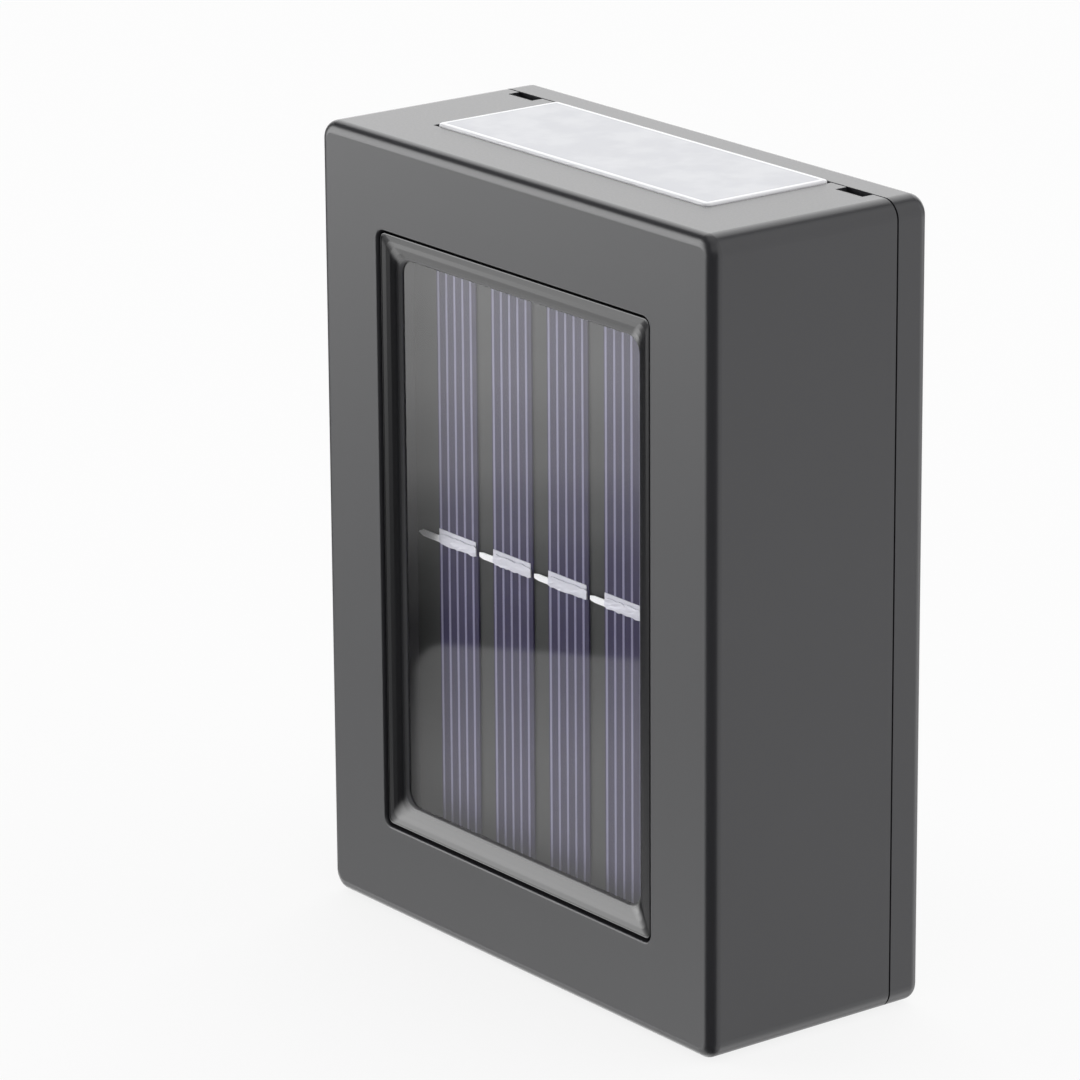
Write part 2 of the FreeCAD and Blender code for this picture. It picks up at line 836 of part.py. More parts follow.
def holder_ear(side):
    """Ear on one long side of the holder, over its post."""
    root = battery_level + side * (bay_half_width + holder_wall / 2)
    tip = battery_level + side * (ear_post_offset + post_radius)
    return block(span(side * ear_offset, ear_width), (-ear_level - ear_thickness, -ear_level),
                 (min(root, tip), max(root, tip)))


def battery_holder():
    z_range = span(battery_level, 2 * holder_half_width)
    tray = block((-holder_half_length, holder_half_length), (holder_front_y, rear_inside_y), z_range)
    end_wall = block((bay_half_length, holder_half_length), (end_wall_front_y, rear_inside_y), z_range)
    whole = joined([tray, end_wall, to_left(end_wall), holder_ear(1), holder_ear(-1)])
    trough = rod(bay_half_width, V(-bay_half_length, cell_axis_y, battery_level),
                 V(bay_half_length, cell_axis_y, battery_level))
    mouth = block((-bay_half_length, bay_half_length), (end_wall_front_y - OVER, cell_axis_y),
                  span(battery_level, 2 * bay_half_width))
    seat = block((bay_half_length - contact_thickness, bay_half_length),
                 (end_wall_front_y - OVER, rear_inside_y - holder_floor),
                 span(battery_level, contact_width + 2 * slide_clearance))
    holes = [rod(screw_hole_radius, V(x, -ear_level - ear_thickness - OVER, z), V(x, OVER - ear_level, z))
             for x, z in ear_post_places()]
    return without(whole, [trough, mouth, seat, to_left(seat)] + holes)


def contact_plate():
    """The plate at the right end, with a solder tag that stands out of the holder."""
    x_range = (bay_half_length - contact_thickness, bay_half_length)
    plate = block(x_range, (end_wall_front_y, rear_inside_y - holder_floor),
                  span(battery_level, contact_width))
    tag = block(x_range, (end_wall_front_y - tag_length, end_wall_front_y), span(battery_level, tag_width))
    return joined([plate, tag])


def spring_plate():
    return to_left(contact_plate())


def two_arcs(start, start_tangent, end, end_tangent):
    """Pair of arcs from one point to another that keep both tangents."""
    across = end - start
    both = start_tangent + end_tangent
    a = 2 * (1 - start_tangent.dot(end_tangent))
    b = 2 * across.dot(both)
    reach = (-b + math.sqrt(b * b + 4 * a * across.dot(across))) / (2 * a)
    near = start + start_tangent * reach
    far = end - end_tangent * reach
    joint = (near + far) * 0.5
    return [arc_from(start, start_tangent, joint), arc_from(joint, (far - near).normalize(), end)]


def arc_from(start, tangent, end):
    """Arc from a point along its tangent to an end point."""
    chord = end - start
    normal = chord - tangent * chord.dot(tangent)
    half_angle = math.atan2(normal.Length, chord.dot(tangent))
    bulge = chord.Length / 2 * math.tan(half_angle / 2)
    outward = (tangent - chord * (tangent.dot(chord) / chord.dot(chord))).normalize()
    return Part.Arc(start, (start + end) * 0.5 + outward * bulge, end).toShape()


def battery_spring():
    """Conical spring from its plate to the flat end of the cell."""
    start_x = -bay_half_length + contact_thickness + spring_wire / 2
    rise = spring_length - spring_wire
    steps = spring_turns * 4
    small_step = 0.01

    def place(step):
        share = step / steps
        radius = spring_large_radius + (spring_small_radius - spring_large_radius) * share
        angle = math.pi / 2 * step
        return V(start_x + rise * share, cell_axis_y + radius * math.cos(angle),
                 battery_level + radius * math.sin(angle))

    def heading(step):
        return (place(step + small_step) - place(step - small_step)).normalize()

    edges = []
    for step in range(steps):
        edges += two_arcs(place(step), heading(step), place(step + 1), heading(step + 1))
    return tube_along(Part.Wire(edges), spring_wire / 2, place(0), heading(0))


# ---- main board and what it carries
def main_board():
    board = upright_plate(board_width, board_height, (board_front_y, board_rear_y),
                          board_corner_radius, 0, board_level)
    holes = [rod(screw_hole_radius, V(x, board_front_y - OVER, z), V(x, board_rear_y + OVER, z))
             for x, z in board_post_places()]
    return without(board, holes)


def fixing_screw(x, seat_y, z):
    """Pan-head screw, its head in front of its seat and its point towards the rear."""
    head = rod(screw_head_radius, V(x, seat_y - screw_head_height, z), V(x, seat_y, z))
    head = round_rim(head, seat_y - screw_head_height, screw_head_edge_radius)
    shank = rod(screw_radius, V(x, seat_y, z), V(x, seat_y + screw_length, z))
    screw = joined([head, shank])
    y_range = (seat_y - screw_head_height - OVER, seat_y - screw_head_height + recess_depth)
    cross = [block(span(x, recess_length), y_range, span(z, recess_width)),
             block(span(x, recess_width), y_range, span(z, recess_length))]
    return without(screw, cross)


def fixing_screws():
    return Part.makeCompound([fixing_screw(x, y, z) for x, y, z in screw_places()])


def switch_case():
    case = block(span(0, switch_side), (board_rear_y, switch_front_y), span(board_level, switch_side))
    bore_end = switch_front_y - plunger_inside - button_travel - bore_spare
    bore = rod(plunger_radius + plunger_bore_clearance, V(0, bore_end, board_level),
               V(0, switch_front_y + OVER, board_level))
    return case.cut(bore)


def switch_plunger():
    return rod(plunger_radius, V(0, switch_front_y - plunger_inside, board_level),
               V(0, plunger_rear_y, board_level))


def button_cap():
    cap = rod(cap_radius, V(0, cap_front_y, board_level), V(0, cap_rear_y, board_level))
    cap = round_rim(cap, cap_rear_y, cap_end_radius)
    socket = rod(plunger_radius + cap_socket_clearance, V(0, cap_front_y, board_level),
                 V(0, plunger_rear_y, board_level))
    return cap.cut(socket)


def button_seal():
    inner = cap_radius + seal_ring_clearance
    front = rear_inside_y - boss_height
    return ring(inner + seal_ring_width, inner, V(0, front, board_level),
                V(0, front + seal_ring_height, board_level))


def driver_chip():
    x, z = -component_x, board_level + component_z / 2
    low = board_rear_y + chip_lift
    body = block(span(x, chip_width), (low, low + chip_height), span(z, chip_length))
    legs = []
    for k in range(chip_legs):
        level = z + chip_leg_pitch * (k - (chip_legs - 1) / 2)
        legs.append(block(span(x, chip_width + 2 * chip_leg_reach), (board_rear_y, low + chip_lift),
                          span(level, chip_leg_width)))
    return joined([body] + legs)


def coil_place():
    return component_x, board_level - component_z


def inductor_core():
    x, z = coil_place()
    top = board_rear_y + coil_height
    core = [rod(coil_core_radius, V(x, board_rear_y, z), V(x, top, z))]
    for low in (board_rear_y, top - coil_flange_thickness):
        core.append(rod(coil_flange_radius, V(x, low, z), V(x, low + coil_flange_thickness, z)))
    return joined(core)


def inductor_winding():
    x, z = coil_place()
    return ring(coil_core_radius + winding_thickness, coil_core_radius,
                V(x, board_rear_y + coil_flange_thickness, z),
                V(x, board_rear_y + coil_height - coil_flange_thickness, z))


def capacitor():
    x, z = component_x, board_level + component_z
    can = rod(capacitor_radius, V(x, board_rear_y, z), V(x, board_rear_y + capacitor_height, z))
    groove_y = board_rear_y + capacitor_groove_level
    groove = ring(capacitor_radius + OVER, capacitor_radius - capacitor_groove,
                  V(x, groove_y, z), V(x, groove_y + 2 * capacitor_groove, z))
    return can.cut(groove)


def resistors():
    first_x = -component_x - resistor_pitch * (resistor_count - 1) / 2
    return Part.makeCompound([
        block(span(first_x + resistor_pitch * k, resistor_width),
              (board_rear_y, board_rear_y + resistor_height),
              span(board_level - component_z, resistor_length))
        for k in range(resistor_count)])


# ---- lamp boards
def lamp_board():
    return block((-lamp_board_half_width, lamp_board_half_width),
                 (lamp_board_front_y, lamp_board_rear_y), (lamp_board_low_z, lamp_board_top_z))


def led_row():
    y = (lamp_board_front_y + lamp_board_rear_y) / 2
    row = []
    for k in range(led_count):
        x = led_pitch * (k - (led_count - 1) / 2)
        led = block(span(x, led_length), span(y, led_width),
                    (lamp_board_top_z, lamp_board_top_z + led_height))
        top = lamp_board_top_z + led_height
        row.append(led.cut(rod(led_dish_radius, V(x, y, top - led_dish_depth), V(x, y, top + OVER))))
    return Part.makeCompound(row)


# ---- leads
def panel_lead(side):
    """Lead from the solar board down to the main board."""
    x = side * panel_lead_offset
    return lead([V(x, panel_board_rear_y, panel_lead_level), V(x, wiring_y, panel_lead_level),
                 V(x, wiring_y, lead_row_z), V(x, board_front_y, lead_row_z)])


def battery_lead():
    """Lead of the positive contact, round the holder's right end to the main board."""
    tag_y = end_wall_front_y - tag_length / 2
    side_x = bay_half_length + battery_lead_side
    front = board_front_y - 2 * lead_bend - lead_radius
    half_way = (battery_level + lead_row_z) / 2
    return lead([V(bay_half_length, tag_y, battery_level), V(side_x, tag_y, battery_level),
                 V(side_x, tag_y, half_way), V(side_x, front, half_way - 2 * lead_bend),
                 V(side_x, front, lead_row_z), V(battery_lead_end, front, lead_row_z),
                 V(battery_lead_end, board_front_y, lead_row_z)])


def lamp_leads(end):
    """Pair of leads from the main board to the lamp board at one end."""
    level = board_level + end * component_z
    pair = []
    for side in (-1, 1):
        x = end * lamp_lead_offset + side * lead_pair_pitch / 2
        pair.append(lead([V(x, board_front_y, level), V(x, wiring_y, level),
                          V(x, wiring_y, end * lamp_board_low_z)]))
    return Part.makeCompound(pair)


pieces = {
    "front_shell": front_shell(),
    "rear_cover": rear_cover(),
    "rear_seal": rear_seal(),
    "window_bezel": window_bezel(),
    "window_pane": window_pane(),
    "solar_board": panel_board(),
    "solar_cells": solar_cells(),
    "cell_finger_lines": cell_finger_lines(),
    "cell_pads": cell_pads(),
    "cell_ribbons": cell_ribbons(),
    "top_lens": lens(),
    "bottom_lens": to_bottom(lens()),
    "top_lens_seal": lens_seal(),
    "bottom_lens_seal": to_bottom(lens_seal()),
    "battery_can": battery_can(),
    "battery_sleeve": battery_sleeve(),
    "battery_holder": battery_holder(),
    "contact_plate": contact_plate(),
    "spring_plate": spring_plate(),
    "battery_spring": battery_spring(),
    "main_board": main_board(),
    "fixing_screws": fixing_screws(),
    "switch_case": switch_case(),
    "switch_plunger": switch_plunger(),
    "button_cap": button_cap(),
    "button_seal": button_seal(),
    "driver_chip": driver_chip(),
    "inductor_core": inductor_core(),
    "inductor_winding": inductor_winding(),
    "capacitor": capacitor(),
    "resistors": resistors(),
    "top_lamp_board": lamp_board(),
    "bottom_lamp_board": to_bottom(lamp_board()),
    "top_leds": led_row(),
    "bottom_leds": to_bottom(led_row()),
    "panel_lead_red": panel_lead(1),
    "panel_lead_black": panel_lead(-1),
    "battery_lead_red": battery_lead(),
    "battery_lead_black": to_left(battery_lead()),
    "top_lamp_leads": lamp_leads(1),
    "bottom_lamp_leads": lamp_leads(-1),
}

os.makedirs("parts", exist_ok=True)
for name, shape in pieces.items():
    shape.exportStep("parts/" + name + ".step")
    print(name, len(shape.Solids), "solids, valid" if shape.isValid() else "solids, NOT VALID",
          round(shape.Volume, 1), "mm3")
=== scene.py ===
import json
import math
import random

import bmesh
import bpy
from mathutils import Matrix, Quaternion, Vector


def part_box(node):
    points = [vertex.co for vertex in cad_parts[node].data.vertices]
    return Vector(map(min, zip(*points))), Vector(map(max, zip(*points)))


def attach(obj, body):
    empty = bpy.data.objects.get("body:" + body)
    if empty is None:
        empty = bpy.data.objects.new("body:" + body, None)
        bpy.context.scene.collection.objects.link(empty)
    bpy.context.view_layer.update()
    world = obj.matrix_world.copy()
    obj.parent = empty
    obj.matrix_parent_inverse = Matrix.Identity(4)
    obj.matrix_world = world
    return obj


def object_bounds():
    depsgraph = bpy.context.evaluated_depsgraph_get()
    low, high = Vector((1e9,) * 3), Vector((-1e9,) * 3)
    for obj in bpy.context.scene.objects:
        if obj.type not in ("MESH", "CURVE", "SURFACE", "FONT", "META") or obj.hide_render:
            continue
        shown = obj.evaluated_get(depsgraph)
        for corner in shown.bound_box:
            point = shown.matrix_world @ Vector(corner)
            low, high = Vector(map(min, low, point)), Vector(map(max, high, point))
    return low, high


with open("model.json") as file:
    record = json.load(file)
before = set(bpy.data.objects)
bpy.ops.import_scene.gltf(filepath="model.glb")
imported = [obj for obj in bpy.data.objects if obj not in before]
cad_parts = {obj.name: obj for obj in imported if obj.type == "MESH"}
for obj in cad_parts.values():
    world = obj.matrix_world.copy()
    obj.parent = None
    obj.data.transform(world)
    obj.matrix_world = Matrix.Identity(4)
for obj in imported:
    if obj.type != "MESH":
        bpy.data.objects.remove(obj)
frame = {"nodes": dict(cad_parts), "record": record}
cad_low, cad_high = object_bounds()
nodes = frame["nodes"]

MM = 0.001
WHITE = (1.0, 1.0, 1.0, 1.0)

# ---- camera, in the part's own frame, with its angles in degrees
CAMERA_TARGET = Vector((-16.29, -17.0, -1.73)) * MM
CAMERA_DISTANCE = 776.0 * MM
CAMERA_AZIMUTH = 52.64
CAMERA_ELEVATION = 17.33
CAMERA_ROLL = -0.41
CAMERA_LENS = 199.7
CAMERA_NEAR = 0.05              # metres
CAMERA_FAR = 20.0

# ---- floor
FLOOR_SIZE = 4.0                # metres
FLOOR_WHITE = 0.9
FLOOR_GAP = 0.05                # under the part, in millimetres
FLOOR_GLOW = 0.85               # share of plain white that the camera sees in the floor

# ---- studio light, in degrees: azimuth 0 is in front of the part and 90 at its right
DIM_LIGHT = 0.05                # between the studio's bright surfaces
STUDIO_CARDS = [
    # azimuths, elevations, blur, brightness
    ((-168.0, -98.0), (-6.0, 56.0), 8.0, 2.0),        # white wall behind
    ((-360.0, 360.0), (62.0, 120.0), 8.0, 0.9),       # overhead
    ((84.0, 172.0), (-60.0, 58.0), 8.0, 1.25),        # grey wall at the right
    ((-120.0, -30.0), (-95.0, -19.0), 0.6, 0.22),     # table at the left
    ((-120.0, -34.0), (-95.0, -22.6), 1.2, 1.1),      # nearer, brighter table
    ((-120.0, -34.0), (-30.0, -23.0), 2.0, 1.3),      # its brightest part
    ((20.0, 80.0), (14.0, 58.0), 8.0, 0.8),           # lamp above, in front at the right
    ((150.0, 260.0), (-95.0, -12.0), 8.0, 0.9),       # table behind
]
SOFTBOX_FADE_IN = (-74.0, -62.0)                      # azimuths of its left edge
SOFTBOX_FADE_OUT = (-44.0, -18.0)                     # azimuths of its right edge
SOFTBOX_FADE = [                                      # elevation, brightness
    (-18.2, 0.0), (-17.6, 0.1), (-17.1, 0.36), (-16.5, 0.75), (-15.6, 1.1),
    (-14.5, 1.35), (-12.0, 3.3), (-8.0, 5.4), (24.0, 5.4), (32.0, 0.0),
]
PAPER_LEFT = -53.9              # azimuth
PAPER_TOP = -18.3               # elevation of its top edge, at the left
PAPER_SLANT = 0.08              # fall of its top edge for each degree to the right
PAPER_CORNER_RADIUS = 0.3
PAPER_BLUR = 0.04
PAPER_FADE_OUT = (-44.0, -30.0)                       # azimuths of its right edge
PAPER_BRIGHTNESS = 0.46

# ---- solder, in millimetres
SOLDER_COLUMNS = 14
SOLDER_ROWS = 5
SOLDER_COVER = 0.06             # in front of the ribbon
SOLDER_LUMP = 0.035             # how far the front swells or sinks
SOLDER_WAVE = 0.09              # how far the outline wanders
SOLDER_ROUNDING = 0.2           # by which both ends are narrower
SOLDER_BELOW = 0.12             # past the ribbon's lower edge
SOLDER_ABOVE = 0.36             # past its upper edge
SOLDER_LEFT_INSET = 0.12        # inside the pad's left edge
SOLDER_RIGHT_SPILL = 0.24       # past the pad's right edge
SOLDER_SOFTNESS = 0.02
SOLDER_SEED = 7

# ---- finishes, with sizes in millimetres and colours as a screen shows them, from 0 to 255
RELIEF_STRENGTH = 0.5
CLOUD_SIZE = 14.0               # of the patches in which a plain finish is uneven
CLOUD_DETAIL = 3.0
COLOUR_SPREAD = 0.06
ROUGHNESS_SPREAD = 0.04
GRAIN_SIZE = 0.35
GRAIN_DETAIL = 2.0
GRAIN_DEPTH = 0.004
FINISHES = {
    # colour, roughness, other inputs
    "casing": ((47, 47, 50), 0.3, {}),
    "panel_board": ((72, 73, 73), 0.5, {"Specular IOR Level": 0.1}),
    "cell": ((54, 48, 84), 0.4, {"Specular IOR Level": 0.15}),
    "silver_print": ((150, 147, 178), 0.45, {"Specular IOR Level": 0.3}),
    "solder_pad": ((226, 226, 236), 0.5, {"Metallic": 0.35}),
    "ribbon": ((250, 250, 252), 0.4, {"Metallic": 0.5}),
    "foam": ((40, 40, 42), 0.9, {}),
    "seal": ((30, 30, 30), 0.7, {}),
    "bare_steel": ((170, 170, 172), 0.3, {"Metallic": 1.0}),
    "sleeve": ((70, 120, 90), 0.3, {}),
    "holder": ((36, 36, 38), 0.5, {}),
    "circuit_board": ((30, 80, 50), 0.4, {}),
    "screw_steel": ((150, 150, 152), 0.3, {"Metallic": 1.0}),
    "switch_plastic": ((30, 30, 32), 0.45, {}),
    "plunger_plastic": ((220, 220, 216), 0.45, {}),
    "button_rubber": ((34, 34, 35), 0.6, {}),
    "chip": ((28, 28, 30), 0.4, {}),
    "ferrite": ((60, 58, 58), 0.6, {}),
    "copper": ((190, 110, 60), 0.3, {"Metallic": 1.0}),
    "capacitor_can": ((30, 40, 80), 0.3, {}),
    "lamp_board": ((235, 235, 232), 0.4, {}),
    "led": ((240, 226, 160), 0.3, {}),
    "red_lead": ((170, 30, 28), 0.4, {}),
    "black_lead": ((28, 28, 28), 0.4, {}),
    "white_lead": ((225, 225, 222), 0.4, {}),
}

PANE_TINT = 0.97
PANE_ROUGHNESS = 0.015
PANE_INDEX = 1.9                # sets how strongly its front mirrors

BEZEL_BLACK = (28, 28, 30)
# grey of the window's inner wall: partly its own satin finish, partly painted light that lifts the wall's
# shade to the tone of the lit board beside it
BEZEL_GREY = (80, 80, 82)
BEZEL_BLACK_ROUGHNESS = 0.16
BEZEL_GREY_ROUGHNESS = 0.5
BEZEL_GREY_START_Y = -33.1      # where its lip starts to turn grey
BEZEL_GREY_FULL_Y = -32.7       # where it is all grey, just in front of the pane
BEZEL_GRAIN_DEPTH = 0.001

LENS_PLATE_DEPTH = 0.5          # under the lens's top, within which a point belongs to its flat plate
LENS_BORDER = 0.8               # width of the rim band, whose white is a painted highlight of the lens's rounded edge
LENS_BORDER_BLUR = 0.1
LENS_RIB_SHADOW_START = -0.5          # a painted shadow of the lens's inner rib runs along the rim band, measured from the field's edge
LENS_RIB_SHADOW_PEAK = -0.15
LENS_RIB_SHADOW_END = 0.05
LENS_RIB_SHADOW_SHARE = 0.6
LENS_CLOUD_SIZE = 5.0
LENS_CLOUD_DETAIL = 5.0
LENS_CLOUD_RANGE = (0.35, 0.65)
LENS_GRAIN_SIZE = 0.5
LENS_GRAIN_DETAIL = 3.0
LENS_GRAIN_DEPTH = 0.004
LENS_FIELD_DARK = (209, 210, 215)
LENS_FIELD_LIGHT = (218, 219, 223)
# painted shadow of the lens's inner rib
LENS_RIB_SHADOW_COLOUR = (192, 193, 199)
# painted highlight of the lens's rounded edge, whiter than the frosted field
LENS_RIM_HIGHLIGHT_COLOUR = (238, 238, 241)
LENS_FIELD_ROUGHNESS = 0.5
LENS_BORDER_ROUGHNESS = 0.3

# ---- places of the sockets that share one name in a colour mixing node
MIX_SHARE, MIX_FIRST, MIX_SECOND = 0, 6, 7
MIX_RESULT = 2


class Shader:
    """Adds nodes to one shader tree. Every value may be a number, a colour or another node's output."""

    def __init__(self, tree):
        self.tree = tree
        tree.nodes.clear()

    def feed(self, socket, value):
        if isinstance(value, bpy.types.NodeSocket):
            self.tree.links.new(value, socket)
        else:
            socket.default_value = value

    def add(self, kind, values=None, **settings):
        node = self.tree.nodes.new("ShaderNode" + kind)
        for name, value in settings.items():
            setattr(node, name, value)
        for name, value in (values or {}).items():
            self.feed(node.inputs[name], value)
        return node

    def math(self, operation, *values):
        node = self.add("Math", dict(enumerate(values)), operation=operation)
        return node.outputs[0]

    def smooth_step(self, value, low, high, to_low=0.0, to_high=1.0):
        values = {"Value": value, "From Min": low, "From Max": high, "To Min": to_low, "To Max": to_high}
        node = self.add("MapRange", values, interpolation_type="SMOOTHSTEP")
        return node.outputs["Result"]

    def mix(self, share, first, second):
        values = {MIX_SHARE: share, MIX_FIRST: first, MIX_SECOND: second}
        node = self.add("Mix", values, data_type="RGBA")
        return node.outputs[MIX_RESULT]

    def curve(self, value, stops):
        """Value read from stops (place from 0 to 1, height), smooth in between."""
        node = self.add("ValToRGB", {"Fac": value})
        ramp = node.color_ramp
        ramp.interpolation = "EASE"
        while len(ramp.elements) < len(stops):
            ramp.elements.new(1.0)
        for element, (place, height) in zip(ramp.elements, stops):
            element.position = place
            element.color = grey(height)
        return node.outputs["Color"]


def grey(value):
    return (value, value, value, 1.0)


def linear(red, green, blue):
    """Colour from the 0 to 255 values that a screen shows, by the standard curve for screens."""
    def one(value):
        share = value / 255
        return share / 12.92 if share <= 0.04045 else ((share + 0.055) / 1.055) ** 2.4
    return (one(red), one(green), one(blue), 1.0)


def shade(colour, factor):
    """The same colour, darker or lighter."""
    return tuple(channel * factor for channel in colour[:3]) + (1.0,)


def middle_and_half(low, high):
    return (low + high) / 2, (high - low) / 2


# ---- studio light
def within(world, distance, half_width, blur):
    """1 up to half a width from the middle and 0 beyond, with a soft edge."""
    return world.smooth_step(distance, half_width - blur, half_width + blur, 1.0, 0.0)


def soft_card(world, azimuth, elevation, azimuths, elevations, blur):
    """1 inside a patch of sky and 0 outside, with soft edges."""
    middle_azimuth, half_width = middle_and_half(*azimuths)
    middle_elevation, half_height = middle_and_half(*elevations)
    turn = world.math("WRAP", world.math("SUBTRACT", azimuth, middle_azimuth), 180.0, -180.0)
    across = world.math("ABSOLUTE", turn)
    upward = world.math("ABSOLUTE", world.math("SUBTRACT", elevation, middle_elevation))
    return world.math("MULTIPLY", within(world, across, half_width, blur),
                      within(world, upward, half_height, blur))


def left_softbox(world, azimuth, elevation):
    """Tall softbox at the left. It fades out downwards, just above the far edge of the white table."""
    lowest, highest = SOFTBOX_FADE[0][0], SOFTBOX_FADE[-1][0]
    brightest = max(brightness for _, brightness in SOFTBOX_FADE)
    place = world.add("MapRange", {"Value": elevation, "From Min": lowest, "From Max": highest})
    stops = [((height - lowest) / (highest - lowest), brightness / brightest)
             for height, brightness in SOFTBOX_FADE]
    level = world.curve(place.outputs["Result"], stops)
    from_left = world.smooth_step(azimuth, *SOFTBOX_FADE_IN)
    to_right = world.smooth_step(azimuth, *SOFTBOX_FADE_OUT, 1.0, 0.0)
    inside = world.math("MULTIPLY", from_left, to_right)
    return world.math("MULTIPLY", world.math("MULTIPLY", level, inside), brightest)


def paper_on_table(world, azimuth, elevation):
    """A white sheet on the table at the left, with one rounded corner that the window mirrors."""
    right_of = world.math("SUBTRACT", azimuth, PAPER_LEFT)
    drop = world.math("MULTIPLY", right_of, PAPER_SLANT)
    below = world.math("SUBTRACT", world.math("SUBTRACT", PAPER_TOP, drop), elevation)
    out_x = world.math("MAXIMUM", world.math("SUBTRACT", PAPER_CORNER_RADIUS, right_of), 0.0)
    out_y = world.math("MAXIMUM", world.math("SUBTRACT", PAPER_CORNER_RADIUS, below), 0.0)
    outside = world.math("SQRT", world.math("ADD", world.math("MULTIPLY", out_x, out_x),
                                            world.math("MULTIPLY", out_y, out_y)))
    inside = within(world, outside, PAPER_CORNER_RADIUS, PAPER_BLUR)
    near = world.smooth_step(azimuth, *PAPER_FADE_OUT, 1.0, 0.0)
    return world.math("MULTIPLY", world.math("MULTIPLY", inside, near), PAPER_BRIGHTNESS)


def build_studio_light():
    """Soft studio seen by its direction. The camera itself sees plain white."""
    world_data = bpy.data.worlds.new("studio")
    bpy.context.scene.world = world_data
    world_data.use_nodes = True
    world = Shader(world_data.node_tree)
    direction = world.add("TexCoord").outputs["Generated"]
    along = world.add("SeparateXYZ", {0: direction}).outputs
    forward = world.math("MULTIPLY", along["Y"], -1.0)
    azimuth = world.math("DEGREES", world.math("ARCTAN2", along["X"], forward))
    elevation = world.math("DEGREES", world.math("ARCSINE", along["Z"]))

    total = world.math("ADD", left_softbox(world, azimuth, elevation), DIM_LIGHT)
    total = world.math("ADD", total, paper_on_table(world, azimuth, elevation))
    for azimuths, elevations, blur, brightness in STUDIO_CARDS:
        patch = soft_card(world, azimuth, elevation, azimuths, elevations, blur)
        total = world.math("ADD", total, world.math("MULTIPLY", patch, brightness))

    for_camera = world.add("LightPath").outputs["Is Camera Ray"]
    light = world.add("Background", {"Color": WHITE, "Strength": total})
    seen = world.add("Background", {"Color": WHITE, "Strength": 1.0})
    mixed = world.add("MixShader", {0: for_camera, 1: light.outputs[0], 2: seen.outputs[0]})
    world.add("OutputWorld", {"Surface": mixed.outputs[0]})


# ---- floor and camera
def floor_material():
    """White and matt, partly plain white to the camera, and clear from below."""
    material = bpy.data.materials.new("floor")
    material.use_nodes = True
    shader = Shader(material.node_tree)
    for_camera = shader.add("LightPath").outputs["Is Camera Ray"]
    share = shader.math("MULTIPLY", for_camera, FLOOR_GLOW)
    matt = shader.add("BsdfDiffuse", {"Color": grey(FLOOR_WHITE)})
    glow = shader.add("Emission", {"Color": WHITE, "Strength": 1.0})
    top_side = shader.add("MixShader", {0: share, 1: matt.outputs[0], 2: glow.outputs[0]})
    from_below = shader.add("NewGeometry").outputs["Backfacing"]
    clear = shader.add("BsdfTransparent", {"Color": WHITE})
    mixed = shader.add("MixShader", {0: from_below, 1: top_side.outputs[0], 2: clear.outputs[0]})
    shader.add("OutputMaterial", {"Surface": mixed.outputs[0]})
    return material


def build_floor():
    half = FLOOR_SIZE / 2
    z = cad_low.z - FLOOR_GAP * MM
    corners = [(-half, -half, z), (half, -half, z), (half, half, z), (-half, half, z)]
    mesh = bpy.data.meshes.new("floor")
    mesh.from_pydata(corners, [], [(0, 1, 2, 3)])
    mesh.materials.append(floor_material())
    floor = bpy.data.objects.new("floor", mesh)
    bpy.context.scene.collection.objects.link(floor)
    floor.visible_glossy = False


def build_camera():
    azimuth, elevation = math.radians(CAMERA_AZIMUTH), math.radians(CAMERA_ELEVATION)
    back = Vector((math.sin(azimuth) * math.cos(elevation), -math.cos(azimuth) * math.cos(elevation),
                   math.sin(elevation)))
    data = bpy.data.cameras.new("camera")
    data.lens = CAMERA_LENS
    data.clip_start = CAMERA_NEAR
    data.clip_end = CAMERA_FAR
    camera = bpy.data.objects.new("camera", data)
    bpy.context.scene.collection.objects.link(camera)
    camera.location = CAMERA_TARGET + back * CAMERA_DISTANCE
    camera.rotation_mode = "QUATERNION"
    roll = Quaternion(back, math.radians(CAMERA_ROLL))
    camera.rotation_quaternion = roll @ back.to_track_quat("Z", "Y")
    bpy.context.scene.camera = camera


# ---- solder
def box_in_mm(node):
    low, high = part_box(node)
    return Vector(low) / MM, Vector(high) / MM


def solder_sheet(bm, x_range, z_range, waves, y, lump, rng):
    """Columns of points from left to right, each from the bottom up, with a wavy outline."""
    sheet = []
    for column, (bottom_wave, top_wave) in enumerate(waves):
        x = x_range[0] + (x_range[1] - x_range[0]) * column / SOLDER_COLUMNS
        narrowing = SOLDER_ROUNDING if column in (0, SOLDER_COLUMNS) else 0.0
        bottom = z_range[0] + bottom_wave + narrowing
        top = z_range[1] + top_wave - narrowing
        heights = [bottom + (top - bottom) * row / SOLDER_ROWS for row in range(SOLDER_ROWS + 1)]
        sheet.append([bm.verts.new(Vector((x, y + rng.uniform(-lump, lump), z)) * MM) for z in heights])
    return sheet


def close_plate(bm, rear, front):
    """Faces over both sheets of points and round the rim between them."""
    for sheet in (rear, front):
        for near, far in zip(sheet, sheet[1:]):
            for row in range(SOLDER_ROWS):
                bm.faces.new((near[row], far[row], far[row + 1], near[row + 1]))
    for row in range(SOLDER_ROWS):
        for column in (0, SOLDER_COLUMNS):
            bm.faces.new((rear[column][row], front[column][row],
                          front[column][row + 1], rear[column][row + 1]))
    for column in range(SOLDER_COLUMNS):
        for row in (0, SOLDER_ROWS):
            bm.faces.new((rear[column][row], front[column][row],
                          front[column + 1][row], rear[column + 1][row]))
    bmesh.ops.recalc_face_normals(bm, faces=bm.faces)


